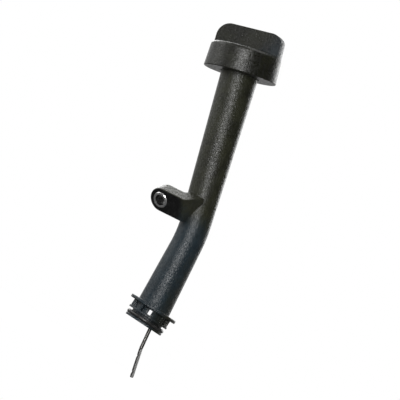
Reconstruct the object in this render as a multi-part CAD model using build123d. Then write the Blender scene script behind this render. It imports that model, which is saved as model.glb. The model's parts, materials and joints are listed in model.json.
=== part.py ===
from build123d import *
from math import asin, cos, degrees, radians, sin, tan
import os

# Oil filler tube of a small engine, with its twist cap and dipstick.
# Frame: the origin is the centre of the flange's underside, which seats on the crankcase.
# +Z runs up the axis of the collar that plugs into the crankcase.
# The tube leans slightly from it and bends in the XZ plane, so its upper part leans to -X.
# Everything above the collar is laid out in the tube's own frame, whose Z is the lower tube's axis.
# All sizes are in millimetres and all angles in degrees.

# Tube moulding
foot_lean = 5.5           # the lower tube leans this far from the collar's axis, towards -X
bend_height = 51.8        # flange underside to the corner of the two tube axes
bend_angle = 11.2
bend_radius = 92.0
upper_length = 109.5      # corner of the two axes to the rim of the neck
foot_diameter = 21.1
bend_diameter = 18.9
neck_diameter = 23.4
tube_wall = 1.9

# Flange and the collar that plugs into the crankcase
flange_diameter = 31.0
flange_thickness = 2.0
flange_edge_round = 0.5
bore_step = 0.35          # the collar's bore is this much narrower in radius than the tube's foot
recess_height = 4.1
recess_radius = 10.0
rib_radius = 12.6
rib_width = 1.6
rib_angles = (-140.5, -86.5, -32.5, 39.5, 93.5, 147.5)   # from -Y towards +X
window_width = 2.1
window_margin = 0.5
window_offset = -0.4
land_radius = 13.15
land_height = 1.2
groove_radius = 10.3
groove_height = 3.6
lip_radius = 12.4
lip_height = 1.4
o_ring_section = 2.4
o_ring_gap = 0.02
overlap = 0.5             # how far one fused feature of the moulding runs into the next

# Bracket ear and its compression bush
ear_centre = (-26.6, -4.4, 60.4)   # centre of the bush on the ear's front face, in the tube's frame
ear_azimuth = 28.7        # the ear's long direction, turned from +X towards -Y
bolt_tilt = 35.1          # how far the bolt axis rises from the horizontal
ear_radius = 7.4
ear_thickness = 8.0
ear_length = 16.8         # bolt axis to the corner at the root
root_run = 4.8            # how far the slanted root face runs along the ear
gusset_depth = 3.0
gusset_start = 11.0
ear_edge_round = 0.6
bush_diameter = 9.9
bush_bore = 6.7
bush_proud = 0.3
bush_gap = 0.03
bush_chamfer = 0.4

# Bayonet mouth of the neck
cap_overlap = 10.0        # rim of the neck to the underside of the cap
mouth_radius = 7.9
mouth_height = 2.8
lug_width = 5.0
lug_radius = 9.0
lug_height = 2.8
lug_drop = 0.6            # gap between the lugs and the mouth above them
lug_clearance = 0.3
lock_angle = 65.0
stop_width = 1.4
stop_reach = 1.3
stop_clearance = 1.5

# Cap shell
cap_radius = 22.6         # at the underside
skirt_draft = 2.6
skirt_height = 15.6
shell_wall = 2.4
shell_top = 2.2
shoulder_round = 2.0
skirt_edge_round = 0.5
insert_ledge = 0.8
insert_gap = 0.05
grip_height = 13.2
grip_thickness = 7.6
grip_corner = 8.4
grip_setback = 2.0        # how far the blunt end of the grip stands back from the skirt
grip_edge_round = 0.9
grip_angle = 22.0         # the grip's long direction, turned from the bend plane towards -Y
grip_wall = 2.2

# Cap insert
insert_flange = 2.0
sleeve_clearance = 0.6    # between the neck and the sleeve that turns on it
sleeve_wall = 1.9
web_thickness = 1.8
plug_radius = 7.5
plug_wall = 1.8
plug_depth = 3.0          # how far the plug reaches below the underside of the cap
floor_thickness = 1.8
seal_thickness = 1.4
seal_gap = 0.05
seal_inset = 0.4
seal_bore_clearance = 0.5

# Swivel that lets the cap turn while the dipstick keeps its direction
swivel_radius = 2.0
swivel_clearance = 0.075
swivel_end_gap = 0.1
washer_radius = 3.6
washer_thickness = 0.5
head_radius = 3.2
head_height = 1.6
yoke_radius = 3.6
yoke_top = 2.1
pin_fit = 0.03
pivot_drop = 9.0          # underside of the cap to the dipstick's pivot
cheek_gap = 2.4
cheek_thickness = 1.2
cheek_radius = 2.5
pivot_radius = 0.8
pivot_head_radius = 1.3
pivot_head = 0.5

# Dipstick
eye_radius = 2.1
eye_thickness = 2.2
barrel_radius = 1.6
barrel_start = 2.6
barrel_length = 9.0
stem_radius = 0.8
stem_start = 4.0
stem_top_run = 56.4       # pivot to the start of the bow
bow_radius = 549.0
bow_angle = 8.34
stem_bottom_run = 29.5    # end of the bow to the bottom of the ferrule
ferrule_radius = 1.1
ferrule_length = 17.0
tang_width = 1.4
tang_depth = 2.6
blade_heading = 9.5       # the blade's direction, turned from -Z towards +X
blade_twist = 20.0
blade_length = 18.25
blade_width = 4.0
blade_thickness = 0.9
blade_tip_round = 0.8
notch_places = (3.5, 13.5)   # from the tip
notch_width = 1.2
notch_depth = 0.8

UPRIGHT = (Align.CENTER, Align.CENTER, Align.MIN)


def disc(radius, bottom, top):
    """A round solid about the Z axis, between two heights."""
    return Pos(0, 0, bottom) * Cylinder(radius, top - bottom, align=UPRIGHT)


def ring(outer_radius, inner_radius, bottom, top):
    """A round solid with a hole, about the Z axis, between two heights."""
    return disc(outer_radius, bottom, top) - disc(inner_radius, bottom, top)


def heading(angle):
    """Unit vector in the bend plane, turned by the angle from -Z towards +X."""
    return Vector(sin(radians(angle)), 0, -cos(radians(angle)))


def leaning_plane(origin, angle):
    """Plane whose normal leans by the angle from +Z towards -X."""
    normal = (-sin(radians(angle)), 0, cos(radians(angle)))
    return Plane(origin=origin, x_dir=(cos(radians(angle)), 0, sin(radians(angle))), z_dir=normal)


# Frames that the pieces share; all but the first lie in the tube's frame
tube_frame = leaning_plane((0, 0, 0), foot_lean)
bend_corner = Vector(0, 0, bend_height)
upper_frame = leaning_plane(bend_corner, bend_angle)
cap_frame = upper_frame.offset(upper_length - cap_overlap)
pivot_frame = cap_frame.offset(-pivot_drop)
ear_along = Vector(cos(radians(ear_azimuth)), -sin(radians(ear_azimuth)), 0)
bolt_outward = Vector(
    -sin(radians(ear_azimuth)) * cos(radians(bolt_tilt)),
    -cos(radians(ear_azimuth)) * cos(radians(bolt_tilt)),
    -sin(radians(bolt_tilt)),
)
ear_frame = Plane(origin=ear_centre, x_dir=ear_along, z_dir=bolt_outward)

# Heights that several pieces share
land_bottom = -recess_height - land_height
groove_bottom = land_bottom - groove_height
spigot_bottom = groove_bottom - lip_height
foot_bore_radius = foot_diameter / 2 - tube_wall
sleeve_radius = neck_diameter / 2 + sleeve_clearance
mouth_bottom = cap_overlap - mouth_height
lug_top = mouth_bottom - lug_drop
lug_bottom = lug_top - lug_height
web_bottom = cap_overlap + seal_thickness
web_top = web_bottom + web_thickness
floor_bottom = -plug_depth
floor_top = floor_bottom + floor_thickness

# Dipstick route: straight from the pivot, a long bow, then straight again to the ferrule
lower_heading = bend_angle - bow_angle
pivot_point = pivot_frame.origin
bow_start = pivot_point + heading(bend_angle) * stem_top_run
bow_centre = bow_start - Vector(cos(radians(bend_angle)), 0, sin(radians(bend_angle))) * bow_radius
bow_end = bow_centre + Vector(cos(radians(lower_heading)), 0, sin(radians(lower_heading))) * bow_radius
ferrule_end = bow_end + heading(lower_heading) * stem_bottom_run


def tapered_run(foot_radius, bend_radius_here, neck_radius):
    """The tube's bent run as a solid, from the flange's underside to the rim of the neck."""
    tangent = bend_radius * tan(radians(bend_angle / 2))
    bend_start = bend_height - tangent
    lower = Cone(foot_radius, bend_radius_here, bend_start, align=UPRIGHT)
    profile = Pos(0, 0, bend_start) * Circle(bend_radius_here)
    corner = revolve(profile, Axis((-bend_radius, 0, bend_start), (0, -1, 0)), bend_angle)
    straight = Cone(bend_radius_here, neck_radius, upper_length - tangent, align=UPRIGHT)
    return lower + corner + upper_frame.offset(tangent).location * straight


def collar():
    """Flange, ribbed recess, land, groove for the seal and lip, below the foot of the tube."""
    flange = disc(flange_diameter / 2, 0, flange_thickness)
    flange = fillet(flange.edges(), flange_edge_round)
    body = flange + disc(recess_radius, land_bottom, overlap)
    body += disc(land_radius, land_bottom, -recess_height)
    body += disc(groove_radius, spigot_bottom, land_bottom)
    body += disc(lip_radius, spigot_bottom, groove_bottom)
    rib = Pos(rib_radius / 2, 0, -recess_height - overlap)
    rib *= Box(rib_radius, rib_width, recess_height + 2 * overlap, align=UPRIGHT)
    for angle in rib_angles:
        body += Rot(0, 0, angle - 90) * rib
    return body


def bracket_ear():
    """The ear's block, from its rounded end into the wall of the tube."""
    root_slope = root_run / ear_thickness
    depth = ear_thickness + gusset_depth
    outline = Polyline(
        (-ear_radius, 0),
        (ear_length, 0),
        (ear_length + root_slope * depth, -depth),
        (gusset_start + gusset_depth, -depth),
        (gusset_start, -ear_thickness),
        (-ear_radius, -ear_thickness),
        close=True,
    )
    block = extrude(make_face(Plane.XZ * outline), ear_radius, both=True)
    straight = Box(ear_length + root_run + depth, 2 * ear_radius, 2 * depth + overlap)
    straight = Pos((ear_length + root_run + depth) / 2, 0, -depth) * straight
    rounded = straight + disc(ear_radius, -2 * depth, 2 * overlap)
    block = block & rounded
    front = block.faces().sort_by(Axis.Z)[-1]
    return ear_frame.location * fillet(front.edges(), ear_edge_round)


def filler_tube():
    """The whole moulding: tube, neck with its bayonet mouth, bracket ear, flange and collar."""
    bore_at_bend = bend_diameter / 2 - tube_wall
    bore_at_neck = neck_diameter / 2 - tube_wall
    tube = tapered_run(foot_diameter / 2, bend_diameter / 2, neck_diameter / 2)
    body = tube_frame.location * (tube + bracket_ear()) + collar()
    body -= tube_frame.location * tapered_run(foot_bore_radius, bore_at_bend, bore_at_neck)
    body -= disc(foot_bore_radius - bore_step, spigot_bottom, overlap)
    window_height = recess_height - 2 * window_margin
    window = Box(window_width, 4 * recess_radius, window_height, align=UPRIGHT)
    body -= Pos(window_offset, 0, window_margin - recess_height) * window
    bush_hole = ear_frame.location * disc(bush_diameter / 2 + bush_gap, -2 * ear_thickness, ear_thickness)
    body -= tube_frame.location * bush_hole
    return body + tube_frame.location * cap_frame.location * bayonet_mouth(bore_at_neck)


def bayonet_mouth(bore_radius):
    """Inward lip at the rim with two slots for the lugs, and the stops that end the turn."""
    mouth = ring(bore_radius + overlap, mouth_radius, mouth_bottom, cap_overlap)
    slot = Box(4 * lug_radius, lug_width + 4 * lug_clearance, mouth_height, align=UPRIGHT)
    mouth -= (Pos(0, 0, mouth_bottom) * slot) & disc(lug_radius + lug_clearance, 0, cap_overlap)
    lug_half_angle = degrees(asin(lug_width / 2 / (bore_radius - stop_reach)))
    stop_turn = lock_angle + lug_half_angle + stop_clearance
    stop = Box(stop_reach + overlap, stop_width, lug_height + lug_drop, align=UPRIGHT)
    stop = Pos(bore_radius + (overlap - stop_reach) / 2, -stop_width / 2, lug_bottom) * stop
    for side in (0, 180):
        mouth += Rot(0, 0, side - stop_turn) * stop
    return mouth


def bracket_bush():
    """Steel sleeve in the ear, which takes the clamping force of the bolt."""
    radius = bush_diameter / 2
    bush = disc(radius, -ear_thickness - bush_proud, bush_proud)
    bush -= disc(bush_bore / 2, -ear_thickness - bush_proud, bush_proud)
    rims = bush.edges().filter_by(GeomType.CIRCLE).filter_by(lambda e: e.radius > radius - 0.01)
    return ear_frame.location * chamfer(rims, bush_chamfer)


def spigot_o_ring():
    """Rubber ring that lies on the lower side of the groove."""
    section = o_ring_section / 2
    height = groove_bottom + section + o_ring_gap
    return Pos(0, 0, height) * Torus(groove_radius + section + o_ring_gap, section)


def cap_taper(height):
    """The drafted outside of the cap, from its underside up to a height."""
    return Cone(cap_radius, cap_radius - height * tan(radians(skirt_draft)), height, align=UPRIGHT)


def cap_shell():
    """Outer cap with its slab grip, hollow from below."""
    skirt = cap_taper(skirt_height)
    rims = skirt.edges().filter_by(GeomType.CIRCLE).sort_by(Axis.Z)
    skirt = fillet(rims[-1:], shoulder_round)
    skirt = fillet(skirt.edges().sort_by(Axis.Z)[:1], skirt_edge_round)
    grip_top = skirt_height + grip_height
    slab = Box(2 * cap_radius - grip_setback, grip_thickness, grip_top - shell_top, align=UPRIGHT)
    slab = fillet(slab.edges().filter_by(Axis.Y).group_by(Axis.Z)[-1], grip_corner)
    for face in (slab.faces().sort_by(Axis.Y)[0], slab.faces().sort_by(Axis.Y)[-1]):
        slab = fillet(face.edges().sort_by(Axis.Z)[1:], grip_edge_round)
    slab = (Pos(grip_setback / 2, 0, shell_top) * slab) & cap_taper(grip_top)
    core = Box(2 * (cap_radius - grip_corner), grip_thickness - 2 * grip_wall, grip_top - grip_wall, align=UPRIGHT)
    cavity = disc(cap_radius - shell_wall, 0, skirt_height - shell_top)
    cavity += disc(cap_radius - shell_wall + insert_ledge, 0, insert_flange)
    shell = skirt + Rot(0, 0, -grip_angle) * slab
    shell -= Rot(0, 0, -grip_angle) * core
    return cap_frame.location * (shell - cavity)


def cap_insert():
    """Inner moulding: closing flange, sleeve round the neck, and plug with the bayonet lugs."""
    flange_radius = cap_radius - shell_wall + insert_ledge - insert_gap
    sleeve_outer = sleeve_radius + sleeve_wall
    plug_inner = plug_radius - plug_wall
    insert = ring(flange_radius, sleeve_radius, 0, insert_flange)
    insert += ring(sleeve_outer, sleeve_radius, 0, web_top)
    insert += ring(sleeve_outer, plug_inner, web_bottom, web_top)
    insert += ring(plug_radius, plug_inner, floor_bottom, web_top)
    insert += ring(plug_radius, swivel_radius + swivel_clearance, floor_bottom, floor_top)
    lugs = Pos(0, 0, lug_bottom) * Box(4 * lug_radius, lug_width, lug_height, align=UPRIGHT)
    lugs = lugs & ring(lug_radius, plug_radius - overlap, lug_bottom, lug_top)
    return cap_frame.location * (insert + lugs)


def cap_seal():
    """Flat rubber ring between the rim of the neck and the web of the insert."""
    outer_radius = neck_diameter / 2 - seal_inset
    inner_radius = plug_radius + seal_bore_clearance
    return cap_frame.location * ring(outer_radius, inner_radius, cap_overlap + seal_gap, web_bottom)


def swivel_washer():
    """Washer between the head of the swivel pin and the floor of the plug."""
    bottom = floor_top + swivel_end_gap
    hole = swivel_radius + swivel_clearance
    return cap_frame.location * ring(washer_radius, hole, bottom, bottom + washer_thickness)


def swivel_pin():
    """Headed pin through the floor of the plug, riveted into the yoke."""
    seat = floor_top + swivel_end_gap + washer_thickness
    bottom = floor_bottom - swivel_end_gap - yoke_top
    pin = disc(swivel_radius, bottom, seat) + disc(head_radius, seat, seat + head_height)
    return cap_frame.location * pin


def dipstick_yoke():
    """Fork under the cap whose two cheeks carry the dipstick's pivot."""
    top = floor_bottom - swivel_end_gap
    crown_bottom = top - yoke_top
    yoke = disc(yoke_radius, crown_bottom, top)
    cheek = Box(2 * cheek_radius, cheek_thickness, pivot_drop + crown_bottom, align=UPRIGHT)
    cheek = Pos(0, 0, -pivot_drop) * cheek
    cheek += Pos(0, 0, -pivot_drop) * Rot(90, 0, 0) * Cylinder(cheek_radius, cheek_thickness)
    for side in (-1, 1):
        yoke += Pos(0, side * (cheek_gap + cheek_thickness) / 2, 0) * cheek
    yoke -= disc(swivel_radius + pin_fit, crown_bottom, top)
    yoke -= Pos(0, 0, -pivot_drop) * Rot(90, 0, 0) * Cylinder(pivot_radius + pin_fit, 4 * yoke_radius)
    return cap_frame.location * yoke


def pivot_pin():
    """Rivet across the yoke, on which the dipstick swings."""
    half = cheek_gap / 2 + cheek_thickness
    pin = Cylinder(pivot_radius, 2 * half)
    for side in (-1, 1):
        pin += Pos(0, 0, side * (half + pivot_head / 2)) * Cylinder(pivot_head_radius, pivot_head)
    return pivot_frame.location * Rot(90, 0, 0) * pin


def stem_eye():
    """Flat eye on the pivot, with the barrel that is crimped round the stem."""
    eye = Rot(90, 0, 0) * Cylinder(eye_radius, eye_thickness)
    neck = Box(2 * barrel_radius - overlap, eye_thickness, barrel_start + overlap, align=UPRIGHT)
    eye += Pos(0, 0, -barrel_start - overlap) * neck
    eye += disc(barrel_radius, -barrel_start - barrel_length, -barrel_start)
    eye -= Rot(90, 0, 0) * Cylinder(pivot_radius + pin_fit, 2 * eye_thickness)
    eye -= disc(stem_radius + pin_fit, -barrel_start - barrel_length, -stem_start)
    return pivot_frame.location * eye


def dipstick_stem():
    """Thin stem: straight in the upper tube, bowed through the bend, straight at the foot."""
    top = pivot_frame.location * disc(stem_radius, -stem_top_run, -stem_start - pin_fit)
    profile = pivot_frame.offset(-stem_top_run).location * Circle(stem_radius)
    bow = revolve(profile, Axis(bow_centre, (0, 1, 0)), bow_angle)
    lower_frame = leaning_plane(ferrule_end, lower_heading)
    bottom = lower_frame.location * disc(stem_radius, tang_depth + pin_fit, stem_bottom_run)
    return top + bow + bottom


def blade_solid(clearance):
    """The measuring blade with its tang, grown all round by the clearance."""
    thickness = blade_thickness + 2 * clearance
    tang = Box(tang_width + 2 * clearance, thickness, tang_depth + clearance, align=UPRIGHT)
    blade = Pos(0, 0, -blade_length) * Box(blade_width, thickness, blade_length, align=UPRIGHT)
    blade = fillet(blade.edges().filter_by(Axis.Y).group_by(Axis.Z)[0], blade_tip_round)
    turn = Rot(0, 0, 90 - blade_twist)
    return leaning_plane(ferrule_end, blade_heading).location * turn * (blade + tang)


def dipstick_blade():
    """Flat steel blade with a notch at each oil level."""
    blade = blade_solid(0)
    for place in notch_places:
        notch = Box(2 * notch_depth, 2 * blade_thickness, notch_width)
        notch = Pos(-blade_width / 2, 0, place - blade_length) * notch
        turn = Rot(0, 0, 90 - blade_twist)
        blade -= leaning_plane(ferrule_end, blade_heading).location * turn * notch
    return blade


def blade_ferrule():
    """Crimped sleeve that joins the blade's tang to the stem."""
    sleeve = disc(ferrule_radius, 0, ferrule_length)
    sleeve -= disc(stem_radius + pin_fit, tang_depth, ferrule_length)
    sleeve = leaning_plane(ferrule_end, lower_heading).location * sleeve
    return sleeve - blade_solid(pin_fit)


pieces_on_tube = {
    "bracket_bush": bracket_bush,
    "cap_shell": cap_shell,
    "cap_insert": cap_insert,
    "cap_seal": cap_seal,
    "swivel_washer": swivel_washer,
    "swivel_pin": swivel_pin,
    "dipstick_yoke": dipstick_yoke,
    "pivot_pin": pivot_pin,
    "stem_eye": stem_eye,
    "dipstick_stem": dipstick_stem,
    "blade_ferrule": blade_ferrule,
    "dipstick_blade": dipstick_blade,
}

os.makedirs("parts", exist_ok=True)
export_step(filler_tube(), "parts/filler_tube.step")
export_step(spigot_o_ring(), "parts/spigot_o_ring.step")
for name, make in pieces_on_tube.items():
    export_step(tube_frame.location * make(), f"parts/{name}.step")
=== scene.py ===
import json
import math

import bmesh
import bpy
from mathutils import Matrix, Vector


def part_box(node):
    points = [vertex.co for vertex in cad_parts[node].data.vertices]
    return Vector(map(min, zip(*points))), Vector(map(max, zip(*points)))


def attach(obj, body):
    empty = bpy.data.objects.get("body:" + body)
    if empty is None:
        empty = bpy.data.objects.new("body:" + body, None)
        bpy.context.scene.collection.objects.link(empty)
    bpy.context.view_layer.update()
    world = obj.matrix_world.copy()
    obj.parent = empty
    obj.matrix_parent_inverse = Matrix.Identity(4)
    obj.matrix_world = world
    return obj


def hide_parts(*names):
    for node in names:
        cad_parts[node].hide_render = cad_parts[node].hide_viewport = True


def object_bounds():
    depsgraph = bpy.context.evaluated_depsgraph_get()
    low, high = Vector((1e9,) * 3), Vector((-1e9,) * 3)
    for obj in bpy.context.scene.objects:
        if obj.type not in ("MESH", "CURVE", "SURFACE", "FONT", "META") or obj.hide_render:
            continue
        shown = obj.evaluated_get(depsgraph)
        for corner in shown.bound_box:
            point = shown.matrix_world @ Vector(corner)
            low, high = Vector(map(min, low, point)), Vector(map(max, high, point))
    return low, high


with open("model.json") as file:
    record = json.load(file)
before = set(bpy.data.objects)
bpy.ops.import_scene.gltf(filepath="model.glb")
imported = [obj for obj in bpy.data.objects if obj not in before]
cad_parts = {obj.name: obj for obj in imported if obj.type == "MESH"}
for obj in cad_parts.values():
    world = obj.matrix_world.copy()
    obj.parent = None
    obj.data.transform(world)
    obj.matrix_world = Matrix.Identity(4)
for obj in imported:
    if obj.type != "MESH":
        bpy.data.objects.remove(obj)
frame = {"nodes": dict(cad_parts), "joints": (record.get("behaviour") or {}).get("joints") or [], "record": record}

# Oil filler tube with a twist cap and dipstick.
# Lengths are in metres, angles in degrees and lamps in watts, unless a comment says otherwise.
cad_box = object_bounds()
nodes = frame["nodes"]
joints = {joint["name"]: joint for joint in frame["joints"]}
mounts = {mount["name"]: mount for mount in frame["record"]["mounts"]}

# ---- Camera ----
FRAME_WIDTH = 0.240          # what the picture spans at the object
CAMERA_DISTANCE = 1.5
CAMERA_ELEVATION = -3.0      # the camera looks slightly up
CAMERA_ROLL = 33.25          # the lower tube leans to the right by about this
CAMERA_CLIP = (0.05, 50.0)
SENSOR_WIDTH = 36.0          # millimetres
AIM = Vector((-0.012306, 0.0, 0.070837))

# ---- Floor ----
FLOOR_SIZE = 12.0
FLOOR_DROP = 0.004           # how far the floor lies below the object
FLOOR_WHITE = 0.9
FLOOR_BOUNCE = 0.35          # how pale the floor is to the light that it throws back
NEAR_FLOOR_GLOW = 1.6
WHITE_FADE = (0.04, 0.28)    # distances between which the shaded floor turns plain white
NEAR_MIRRORED = 0.15         # brightness of the floor as gloss sees it, near and far
FAR_MIRRORED = 0.9
MIRROR_FADE = (0.2, 1.0)

# ---- Surroundings, as the light and the gloss see them ----
AMBIENT = 0.20
REFLECTED_FRONT = 0.08
REFLECTED_LEFT = 0.85
REFLECTED_RIGHT = 0.11
REFLECTED_BACK = 1.0
LEFT_TO_RIGHT = (-1.0, 0.5)  # parts of the direction's X and Y over which each brightness changes
FRONT_TO_SIDE = (-0.8, -0.1)
SIDE_TO_BACK = (0.62, 1.0)

# ---- Lamps: name, azimuth, elevation, distance, width and height, power ----
LAMPS = (
    ("key", -10, 4, 1.1, (0.15, 0.55), 12.0),
    ("fill_left", -92, 12, 1.0, (0.5, 0.6), 2.4),
    ("top", 20, 75, 1.1, (0.7, 0.7), 6.0),
    ("back_right", 150, 25, 1.2, (0.5, 0.8), 5.0),
    ("back_left", 205, 30, 1.2, (0.6, 0.8), 7.0),
)

# ---- Plastic ----
WARM_TINT = (1.0, 1.05, 0.50)
# the cool tint is a painted bluish reflection
PAINTED_REFLECTION_TINT = (0.42, 1.0, 1.50)
FLECK_TINT = (1.0, 1.0, 0.97)
# how far the painted bluish reflection covers the colour
PAINTED_REFLECTION_SHARE = 0.85
GRAIN_SIZE = 0.00045         # sizes of the marks in the moulded surface
PEBBLE_SIZE = 0.0012
STREAK_SIZE = 0.0022
CLOUD_SIZE = 0.011
SCUFF_SIZE = 0.009
SCRATCH_SIZE = 0.0007
RAGGED_SIZE = 0.006
STREAK_STRETCH = (1, 1, 0.07)
SCRATCH_STRETCH = (1, 1, 0.05)
SCRATCH_TURN = (0.5, 0.35, 0.2)    # radians
SCRATCH_LEVEL = 0.11
RUBBED_RADIUS = 0.00035
SEAM_EDGE = 0.00016          # half width of the mould's parting line, outside and at its crest
SEAM_CREST = 0.00004
SEAM_HEIGHT = 0.00006
PAINTED_SHADE_REACH = (0.014, 0.019)   # from the bush, where the painted shade on the face starts to thin and where it ends

# ---- Steel and rubber ----
STAIN_SIZE = 0.0024
PIT_SIZE = 0.00035
STEEL_EDGE_RADIUS = 0.00012
TOOL_MARK_DEPTH = 0.00002
STAIN_TINT = (1.0, 0.90, 0.76)
# colour of the painted shade in the bush's bore and on the blade's narrow edges
PAINTED_SHADE_STEEL = 0.045
EVERY_WAY = (1, 1, 1)        # how tool marks are stretched
DRAWN = (1, 1, 0.1)
RUBBER_GRAIN_SIZE = 0.0003
BLOOM_SIZE = 0.003

# ---- Where colours change, and where reflection and shade are painted ----
CAP_LEAN = 16.7
GRIP_HEIGHT = 0.0132
BLADE_TURN = 70.0            # the blade's width, turned from +X towards +Y
TUBE_PAINTED_REFLECTION = (                # painted bluish reflection: the tube is cooler below the bend, and towards its left side
    (Vector((0, 0, 0.062)), Vector((0, 0, 0.046))),
    (Vector((0.010, 0, 0)), Vector((-0.004, 0, 0))),
)

# ---- Dipstick stem, from the same sizes as the part ----
STEM_RADIUS = 0.0008
STEM_START = 0.0045
STEM_TOP_RUN = 0.0564
BOW_RADIUS = 0.549
BOW_ANGLE = math.radians(8.34)
STEM_BOTTOM_RUN = 0.0295
TANG_DEPTH = 0.0026
STRANDS = 6
STRAND_PITCH = 0.011
STRAND_SIDES = 8
STRAND_STEP = 0.0006         # between the rings of a strand
STRAND_SWELL = 1.02          # so that each strand presses into the next
CORE_STRIDE = 8              # the straight core needs fewer rings than a strand
SIDEWAYS = Vector((0, 1, 0))     # square to the plane of the bends


# ---- Node helpers ----
def new_material(name):
    """An empty node material."""
    material = bpy.data.materials.new(name)
    material.use_nodes = True
    material.node_tree.nodes.clear()
    return material, material.node_tree


def add(tree, kind, inputs=None, **settings):
    """Adds a node; an input is a value, or a socket to link."""
    node = tree.nodes.new(kind)
    for key, value in settings.items():
        setattr(node, key, value)
    for key, value in (inputs or {}).items():
        if isinstance(value, bpy.types.NodeSocket):
            tree.links.new(value, node.inputs[key])
        else:
            node.inputs[key].default_value = value
    return node


def object_place(tree, stretch=(1, 1, 1), turn=(0, 0, 0)):
    """Object coordinates in metres, turned and then stretched."""
    coordinates = add(tree, "ShaderNodeTexCoord").outputs["Object"]
    turned = add(tree, "ShaderNodeMapping", {"Vector": coordinates, "Rotation": turn})
    return add(tree, "ShaderNodeMapping", {"Vector": turned.outputs[0], "Scale": stretch}).outputs[0]


def noise(tree, place, size, detail=3.0, roughness=0.55, distortion=0.0):
    """Noise between 0 and 1 whose features are about the given size."""
    inputs = {
        "Vector": place,
        "Scale": 1 / size,
        "Detail": detail,
        "Roughness": roughness,
        "Distortion": distortion,
    }
    return add(tree, "ShaderNodeTexNoise", inputs).outputs["Fac"]


def remap(tree, value, low, high, to_low=0.0, to_high=1.0, smooth=True):
    """Maps the value's range onto another, clamped."""
    inputs = {"Value": value, "From Min": low, "From Max": high, "To Min": to_low, "To Max": to_high}
    kind = "SMOOTHSTEP" if smooth else "LINEAR"
    return add(tree, "ShaderNodeMapRange", inputs, interpolation_type=kind).outputs["Result"]


def math_node(tree, operation, first, second=0.0):
    """One arithmetic step."""
    return add(tree, "ShaderNodeMath", {0: first, 1: second}, operation=operation).outputs[0]


def blend_colours(tree, factor, first, second):
    """Mixes two colours by a factor."""
    mix = add(tree, "ShaderNodeMix", data_type="RGBA")
    for socket, value in ((mix.inputs[0], factor), (mix.inputs[6], first), (mix.inputs[7], second)):
        if isinstance(value, bpy.types.NodeSocket):
            tree.links.new(value, socket)
        else:
            socket.default_value = value
    return mix.outputs[2]


def bump(tree, height, depth, strength=1.0, normal=None):
    """Bump of a given depth, on top of another normal."""
    inputs = {"Height": height, "Distance": depth, "Strength": strength}
    if normal is not None:
        inputs["Normal"] = normal
    return add(tree, "ShaderNodeBump", inputs).outputs["Normal"]


def grey(level, tint=(1.0, 1.0, 1.0)):
    """A colour from a level and a tint."""
    return tuple(level * part for part in tint) + (1.0,)


def worn_edges(tree, radius):
    """Mask that is 1 on convex and concave edges, and the rounded normal."""
    bevel = add(tree, "ShaderNodeBevel", {"Radius": radius}, samples=6)
    geometry = add(tree, "ShaderNodeNewGeometry")
    inputs = {0: bevel.outputs[0], 1: geometry.outputs["Normal"]}
    alike = add(tree, "ShaderNodeVectorMath", inputs, operation="DOT_PRODUCT").outputs["Value"]
    return remap(tree, alike, 0.995, 0.86), bevel.outputs[0]


def along_ramp(tree, start, end):
    """0 before the start point and 1 past the end point, with a ragged front between them."""
    line = end - start
    place = object_place(tree)
    offset = add(tree, "ShaderNodeVectorMath", {0: place, 1: start}, operation="SUBTRACT")
    inputs = {0: offset.outputs["Vector"], 1: line.normalized()}
    shift = add(tree, "ShaderNodeVectorMath", inputs, operation="DOT_PRODUCT")
    ragged = math_node(tree, "MULTIPLY", noise(tree, place, RAGGED_SIZE), line.length)
    reach = math_node(tree, "ADD", shift.outputs["Value"], ragged)
    return remap(tree, reach, line.length * 0.3, line.length * 1.3)


def near_point(tree, centre, inner, outer):
    """1 within the inner distance of a point, 0 past the outer one."""
    offset = add(tree, "ShaderNodeVectorMath", {0: object_place(tree), 1: centre}, operation="DISTANCE")
    return remap(tree, offset.outputs["Value"], outer, inner)


def facing(tree, direction, none, full):
    """Mask from how squarely the surface faces along the direction, either way."""
    normal = add(tree, "ShaderNodeTexCoord").outputs["Normal"]
    along = add(tree, "ShaderNodeVectorMath", {0: normal, 1: direction}, operation="DOT_PRODUCT")
    return remap(tree, math_node(tree, "ABSOLUTE", along.outputs["Value"]), none, full)


def lay_over(tree, colour, mask, share, over):
    """Lays a second colour over the first, as far as the mask times the share."""
    return blend_colours(tree, math_node(tree, "MULTIPLY", mask, share), colour, over)


def surfaced(material, tree, inputs):
    """Gives the material one principled surface with these inputs."""
    surface = add(tree, "ShaderNodeBsdfPrincipled", inputs)
    output = add(tree, "ShaderNodeOutputMaterial")
    tree.links.new(surface.outputs[0], output.inputs["Surface"])
    return material


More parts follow.
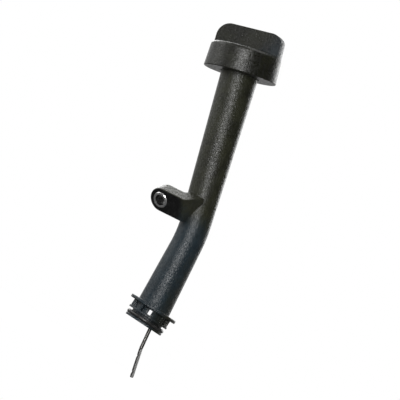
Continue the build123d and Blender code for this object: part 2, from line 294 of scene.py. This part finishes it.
# ---- Materials ----
def glass_filled_plastic(
    name, dark, light, roughness, grain_depth, lean=0.0, seam=False, painted_reflection_ramps=(), painted_shade_face=None,
):
    """Black glass-filled nylon: fine spark-eroded grain, flow streaks, scuffs and rubbed edges.

    Its base runs from dark to light.  The next to last argument lists pairs of points between which a painted
    bluish reflection turns it cooler, and the last gives the centre and direction of a face darkened with
    painted shade.
    """
    material, tree = new_material(name)
    lean = math.radians(lean)
    place = object_place(tree, turn=(0, lean, 0))
    along = object_place(tree, stretch=STREAK_STRETCH, turn=(0, lean, 0))
    grain = noise(tree, place, GRAIN_SIZE, detail=4.0, roughness=0.6)
    pebble = noise(tree, place, PEBBLE_SIZE, detail=2.0)
    mottle = noise(tree, place, PEBBLE_SIZE, roughness=0.6)
    streaks = noise(tree, along, STREAK_SIZE, detail=4.0, roughness=0.6)
    clouds = noise(tree, place, CLOUD_SIZE, distortion=0.6)
    scuffed = remap(tree, noise(tree, place, SCUFF_SIZE, detail=5.0, distortion=1.2), 0.57, 0.70)
    turn = (SCRATCH_TURN[0], SCRATCH_TURN[1] + lean, SCRATCH_TURN[2])
    scratch_place = object_place(tree, stretch=SCRATCH_STRETCH, turn=turn)
    scratches = remap(tree, noise(tree, scratch_place, SCRATCH_SIZE, detail=2.0), 0.70, 0.76)
    scratches = math_node(tree, "MULTIPLY", scratches, scuffed)
    edge, rounded = worn_edges(tree, RUBBED_RADIUS)

    tone = remap(tree, clouds, 0.35, 0.65)
    colour = blend_colours(tree, tone, grey(dark, WARM_TINT), grey(light, WARM_TINT))
    # painted reflection: a cooler, lighter tint where bluish surroundings would be mirrored
    if painted_reflection_ramps:
        painted_reflection_colour = blend_colours(tree, tone, grey(light * 0.8, PAINTED_REFLECTION_TINT), grey(light * 1.1, PAINTED_REFLECTION_TINT))
        mask = PAINTED_REFLECTION_SHARE
        for start, end in painted_reflection_ramps:
            mask = math_node(tree, "MULTIPLY", along_ramp(tree, start, end), mask)
        colour = blend_colours(tree, mask, colour, painted_reflection_colour)
    # painted shade: the face round the bush that points along the bolt is darkened
    if painted_shade_face:
        centre, direction = painted_shade_face
        painted_shade_near = near_point(tree, centre, *PAINTED_SHADE_REACH)
        colour = lay_over(tree, colour, painted_shade_near, facing(tree, direction, 0.85, 0.95), grey(dark * 0.1))
    fleck = remap(tree, grain, 0.60, 0.78)
    colour = lay_over(tree, colour, fleck, 0.30, grey(light * 2.6, FLECK_TINT))
    colour = lay_over(tree, colour, remap(tree, streaks, 0.50, 0.72), 0.35, grey(light * 1.5))
    colour = lay_over(tree, colour, scratches, 0.55, grey(SCRATCH_LEVEL))
    colour = lay_over(tree, colour, edge, 0.35, grey(light * 2.2))

    gloss = remap(tree, mottle, 0.35, 0.65, roughness - 0.08, roughness + 0.10)
    gloss = math_node(tree, "ADD", gloss, math_node(tree, "MULTIPLY", scratches, 0.15))
    gloss = math_node(tree, "SUBTRACT", gloss, math_node(tree, "MULTIPLY", edge, 0.07))

    normal = bump(tree, mottle, grain_depth * 1.4, 0.8, rounded)
    normal = bump(tree, pebble, grain_depth * 1.6, 0.6, normal)
    normal = bump(tree, grain, grain_depth, 0.8, normal)
    normal = bump(tree, streaks, grain_depth * 1.5, 0.25, normal)
    if seam:
        across = add(tree, "ShaderNodeSeparateXYZ", {0: place}).outputs["Y"]
        line = remap(tree, math_node(tree, "ABSOLUTE", across), SEAM_EDGE, SEAM_CREST)
        normal = bump(tree, line, SEAM_HEIGHT, 0.8, normal)
    return surfaced(material, tree, {
        "Base Color": colour,
        "Roughness": gloss,
        "IOR": 1.5,
        "Specular IOR Level": 0.36,
        "Normal": normal,
    })


def turned_steel(name, base, tint, roughness, mark_size, stretch, stains, painted_shade_faces=None):
    """Plated or bare steel with fine tool lines, stains and small pits.

    The last argument paints shade: a direction, and how squarely a face points along it where the steel is bright
    and where it is painted dark.
    """
    material, tree = new_material(name)
    place = object_place(tree)
    line = noise(tree, object_place(tree, stretch=stretch), mark_size, detail=4.0, roughness=0.7)
    cloud = noise(tree, place, STAIN_SIZE, detail=4.0, distortion=0.8)
    pits = remap(tree, noise(tree, place, PIT_SIZE, detail=2.0), 0.68, 0.76)
    edge, rounded = worn_edges(tree, STEEL_EDGE_RADIUS)
    stain = math_node(tree, "MULTIPLY", remap(tree, cloud, 0.48, 0.72), stains)
    colour = blend_colours(tree, remap(tree, line, 0.3, 0.7), grey(base * 0.78, tint), grey(base, tint))
    colour = blend_colours(tree, stain, colour, grey(base * 0.42, STAIN_TINT))
    colour = lay_over(tree, colour, pits, 0.5, grey(base * 0.3))
    colour = lay_over(tree, colour, edge, 0.35, grey(min(base * 1.3, 0.92)))
    # painted shade on the faces that the given direction picks out
    if painted_shade_faces:
        colour = lay_over(tree, colour, facing(tree, *painted_shade_faces), 0.92, grey(PAINTED_SHADE_STEEL))
    gloss = remap(tree, line, 0.25, 0.75, roughness - 0.06, roughness + 0.10)
    gloss = math_node(tree, "ADD", gloss, math_node(tree, "MULTIPLY", stain, 0.5))
    normal = bump(tree, line, TOOL_MARK_DEPTH, 0.7, rounded)
    normal = bump(tree, pits, -TOOL_MARK_DEPTH, 0.6, normal)
    return surfaced(material, tree, {
        "Base Color": colour,
        "Metallic": 1.0,
        "Roughness": gloss,
        "Normal": normal,
    })


def seal_rubber(name):
    """Moulded nitrile rubber with a thin film of oil and a dusty bloom."""
    material, tree = new_material(name)
    place = object_place(tree)
    fine = noise(tree, place, RUBBER_GRAIN_SIZE)
    bloom = remap(tree, noise(tree, place, BLOOM_SIZE, detail=4.0, distortion=0.8), 0.45, 0.70)
    return surfaced(material, tree, {
        "Base Color": lay_over(tree, grey(0.012), bloom, 0.6, grey(0.035, (1, 0.98, 0.94))),
        "Roughness": remap(tree, bloom, 0.0, 1.0, 0.34, 0.62),
        "Specular IOR Level": 0.5,
        "Normal": bump(tree, fine, 0.00002, 0.6),
    })


# ---- Stage ----
def make_floor(height):
    """Pale floor that takes the object's soft shadow and fades to the white surroundings."""
    bpy.ops.mesh.primitive_plane_add(size=FLOOR_SIZE, location=(AIM.x, 0, height))
    floor = bpy.context.object
    floor.name = "floor"
    material, tree = new_material("floor_white")
    place = add(tree, "ShaderNodeTexCoord").outputs["Object"]
    distance = add(tree, "ShaderNodeVectorMath", {0: place}, operation="LENGTH").outputs["Value"]
    far = remap(tree, distance, *WHITE_FADE)
    path = add(tree, "ShaderNodeLightPath")
    white = add(tree, "ShaderNodeEmission", {"Strength": 1.0})
    lifted = add(tree, "ShaderNodeEmission", {"Strength": NEAR_FLOOR_GLOW})
    mirror = remap(tree, distance, *MIRROR_FADE, NEAR_MIRRORED, FAR_MIRRORED)
    mirrored = add(tree, "ShaderNodeEmission", {"Strength": mirror})
    matt = add(tree, "ShaderNodeBsdfDiffuse", {"Color": grey(FLOOR_WHITE)})
    bounce = add(tree, "ShaderNodeBsdfDiffuse", {"Color": grey(FLOOR_BOUNCE)})
    near = add(tree, "ShaderNodeMixShader", {0: 0.5, 1: matt.outputs[0], 2: lifted.outputs[0]})
    seen = add(tree, "ShaderNodeMixShader", {0: far, 1: near.outputs[0], 2: white.outputs[0]})
    rest = add(tree, "ShaderNodeMixShader", {
        0: path.outputs["Is Glossy Ray"],
        1: bounce.outputs[0],
        2: mirrored.outputs[0],
    })
    direct = math_node(tree, "MAXIMUM", path.outputs["Is Camera Ray"], path.outputs["Is Transmission Ray"])
    mixed = add(tree, "ShaderNodeMixShader", {0: direct, 1: rest.outputs[0], 2: seen.outputs[0]})
    output = add(tree, "ShaderNodeOutputMaterial")
    tree.links.new(mixed.outputs[0], output.inputs["Surface"])
    floor.data.materials.append(material)


def make_world():
    """White surroundings, mirrored more dimly from the camera's side and from the right."""
    world = bpy.data.worlds.new("studio")
    bpy.context.scene.world = world
    world.use_nodes = True
    tree = world.node_tree
    tree.nodes.clear()
    path = add(tree, "ShaderNodeLightPath")
    direction = add(tree, "ShaderNodeTexCoord").outputs["Generated"]
    parts = add(tree, "ShaderNodeSeparateXYZ", {"Vector": direction})
    side = remap(tree, parts.outputs["X"], *LEFT_TO_RIGHT, REFLECTED_LEFT, REFLECTED_RIGHT)
    front = remap(tree, parts.outputs["Y"], *FRONT_TO_SIDE, REFLECTED_FRONT, 1.0)
    back = remap(tree, parts.outputs["Y"], *SIDE_TO_BACK, 0.0, REFLECTED_BACK)
    reflected = math_node(tree, "MAXIMUM", math_node(tree, "MULTIPLY", side, front), back)
    glossy = math_node(tree, "MULTIPLY", path.outputs["Is Glossy Ray"], reflected)
    direct = math_node(tree, "MAXIMUM", path.outputs["Is Camera Ray"], path.outputs["Is Transmission Ray"])
    shown = math_node(tree, "MAXIMUM", glossy, direct)
    plain = math_node(tree, "SUBTRACT", 1.0, path.outputs["Is Glossy Ray"])
    ambient = math_node(tree, "MULTIPLY", plain, AMBIENT)
    strength = math_node(tree, "MAXIMUM", shown, ambient)
    background = add(tree, "ShaderNodeBackground", {"Color": (1, 1, 1, 1), "Strength": strength})
    output = add(tree, "ShaderNodeOutputWorld")
    tree.links.new(background.outputs[0], output.inputs["Surface"])


def make_lamp(name, azimuth, elevation, distance, size, power):
    """Rectangular lamp that faces the object; azimuth 0 is the camera's side, and 90 is +X."""
    data = bpy.data.lights.new(name, "AREA")
    data.shape = "RECTANGLE"
    data.size, data.size_y = size
    data.energy = power
    lamp = bpy.data.objects.new(name, data)
    bpy.context.scene.collection.objects.link(lamp)
    a, e = math.radians(azimuth), math.radians(elevation)
    back = Vector((math.sin(a) * math.cos(e), -math.cos(a) * math.cos(e), math.sin(e)))
    lamp.location = AIM + back * distance
    lamp.rotation_mode = "QUATERNION"
    lamp.rotation_quaternion = back.to_track_quat("Z", "Y")


def make_camera():
    """Long lens, looking along +Y from slightly below, rolled so that the lower tube leans right."""
    data = bpy.data.cameras.new("camera")
    data.sensor_width = SENSOR_WIDTH
    data.lens = SENSOR_WIDTH * CAMERA_DISTANCE / FRAME_WIDTH
    data.clip_start, data.clip_end = CAMERA_CLIP
    camera = bpy.data.objects.new("camera", data)
    bpy.context.scene.collection.objects.link(camera)
    e, roll = math.radians(CAMERA_ELEVATION), math.radians(CAMERA_ROLL)
    back = Vector((0, -math.cos(e), math.sin(e)))
    level = Vector((1, 0, 0))
    rise = back.cross(level)
    right = level * math.cos(roll) + rise * math.sin(roll)
    up = rise * math.cos(roll) - level * math.sin(roll)
    turn = Matrix((right, up, back)).transposed().to_4x4()
    camera.matrix_world = Matrix.Translation(AIM + back * CAMERA_DISTANCE) @ turn
    bpy.context.scene.camera = camera


# ---- Dipstick stem as a stranded cable ----
def stem_route(step):
    """Centre-line points and directions of the stem, from the barrel of the eye to the ferrule."""
    pivot = Vector(joints["stem_swing"]["pos_m"])
    up = Vector(joints["cap_lift"]["axis"])
    side = Vector((up.z, 0, -up.x))
    lean = math.atan2(-up.x, up.z)
    bow_start = pivot - up * STEM_TOP_RUN
    centre = bow_start - side * BOW_RADIUS
    total_bow = BOW_RADIUS * BOW_ANGLE
    bottom = STEM_BOTTOM_RUN - TANG_DEPTH
    length = STEM_TOP_RUN - STEM_START + total_bow + bottom
    count = int(length / step)
    for i in range(count + 1):
        s = STEM_START + length * i / count
        if s <= STEM_TOP_RUN:
            yield pivot - up * s, -up
            continue
        turned = min((s - STEM_TOP_RUN) / BOW_RADIUS, BOW_ANGLE)
        angle = lean - turned
        outward = Vector((math.cos(angle), 0, math.sin(angle)))
        heading = Vector((math.sin(angle), 0, -math.cos(angle)))
        point = centre + outward * BOW_RADIUS
        yield point + heading * max(s - STEM_TOP_RUN - total_bow, 0), heading


def tube_mesh(bm, points, radius, sides):
    """Adds a closed round tube along the points, whose rings stand across the route."""
    rings = []
    for i, point in enumerate(points):
        ahead = points[min(i + 1, len(points) - 1)] - points[max(i - 1, 0)]
        across = SIDEWAYS.cross(ahead).normalized()
        other = ahead.normalized().cross(across)
        ring = []
        for k in range(sides):
            a = 2 * math.pi * k / sides
            ring.append(bm.verts.new(point + (across * math.cos(a) + other * math.sin(a)) * radius))
        rings.append(ring)
    for first, second in zip(rings, rings[1:]):
        for k in range(sides):
            n = (k + 1) % sides
            bm.faces.new((first[k], first[n], second[n], second[k])).smooth = True
    bm.faces.new(list(reversed(rings[0])))
    bm.faces.new(rings[-1])


def make_stem(material):
    """Strands twisted round a straight core."""
    route = list(stem_route(STRAND_STEP))
    strand = STEM_RADIUS / 3
    bm = bmesh.new()
    tube_mesh(bm, [point for point, _ in route[::CORE_STRIDE] + route[-1:]], strand, STRAND_SIDES)
    for start in range(STRANDS):
        points = []
        for i, (point, heading) in enumerate(route):
            other = heading.cross(SIDEWAYS)
            a = 2 * math.pi * (start / STRANDS + i * STRAND_STEP / STRAND_PITCH)
            points.append(point + (SIDEWAYS * math.cos(a) + other * math.sin(a)) * 2 * strand)
        tube_mesh(bm, points, strand * STRAND_SWELL, STRAND_SIDES)
    bmesh.ops.recalc_face_normals(bm, faces=bm.faces)
    mesh = bpy.data.meshes.new("stem_cable")
    bm.to_mesh(mesh)
    bm.free()
    stem = bpy.data.objects.new("stem_cable", mesh)
    bpy.context.scene.collection.objects.link(stem)
    mesh.materials.append(material)
    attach(stem, "stem")
    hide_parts("dipstick_stem")


# ---- Build ----
up = Vector(joints["cap_lift"]["axis"])
cap_top = max((vertex.co for vertex in nodes["cap_shell"].data.vertices), key=up.dot)
grip_foot = cap_top - up * GRIP_HEIGHT
low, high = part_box("bracket_bush")
bush_centre = (Vector(low) + Vector(high)) / 2
bolt = Vector(mounts["bracket_bolt"]["axis"])
blade_width = Vector((math.cos(math.radians(BLADE_TURN)), math.sin(math.radians(BLADE_TURN)), 0))
cap_painted_reflection = (                 # painted bluish reflection: the grip is cooler above its foot, and towards its right end
    (grip_foot - up * 0.001, grip_foot + up * 0.003),
    (grip_foot - Vector((0.006, 0, 0)), grip_foot + Vector((0.008, 0, 0))),
)

# the tube gets a painted bluish reflection, and painted shade on the face round the bush
tube_plastic = glass_filled_plastic(
    "tube_plastic", 0.008, 0.016, 0.37, 0.00014, seam=True, painted_reflection_ramps=TUBE_PAINTED_REFLECTION, painted_shade_face=(bush_centre, bolt),
)
cap_plastic = glass_filled_plastic("cap_plastic", 0.004, 0.008, 0.35, 0.00010, CAP_LEAN, painted_reflection_ramps=cap_painted_reflection)
insert_plastic = glass_filled_plastic("insert_plastic", 0.010, 0.017, 0.42, 0.00004, CAP_LEAN)
# painted shade: the bore and sides of the bush, square to the bolt, are darkened
bush_steel = turned_steel(
    "bush_steel", 0.72, (1.0, 1.0, 1.0), 0.26, 0.0004, EVERY_WAY, 0.2, painted_shade_faces=(bolt, 0.7, 0.4),
)
zinc = turned_steel("zinc_steel", 0.70, (1.0, 1.0, 0.98), 0.28, 0.0004, EVERY_WAY, 0.25)
cable_steel = turned_steel("cable_steel", 0.12, (1.0, 0.98, 0.92), 0.36, 0.0003, DRAWN, 0.5)
# painted shade: the blade's narrow edges, which face across its width, are darkened
blade_steel = turned_steel(
    "blade_steel", 0.31, (1.0, 0.99, 0.95), 0.36, 0.00025, DRAWN, 0.25, painted_shade_faces=(blade_width, 0.6, 0.8),
)
rubber = seal_rubber("seal_rubber")

for name, material in {
    "filler_tube": tube_plastic,
    "cap_shell": cap_plastic,
    "cap_insert": insert_plastic,
    "bracket_bush": bush_steel,
    "swivel_washer": zinc,
    "swivel_pin": zinc,
    "dipstick_yoke": zinc,
    "pivot_pin": zinc,
    "stem_eye": zinc,
    "blade_ferrule": cable_steel,
    "dipstick_blade": blade_steel,
    "spigot_o_ring": rubber,
    "cap_seal": rubber,
}.items():
    nodes[name].data.materials.clear()
    nodes[name].data.materials.append(material)

make_stem(cable_steel)
make_floor(cad_box[0].z - FLOOR_DROP)
make_world()
for lamp in LAMPS:
    make_lamp(*lamp)
make_camera()
bpy.context.scene.view_settings.view_transform = "Standard"
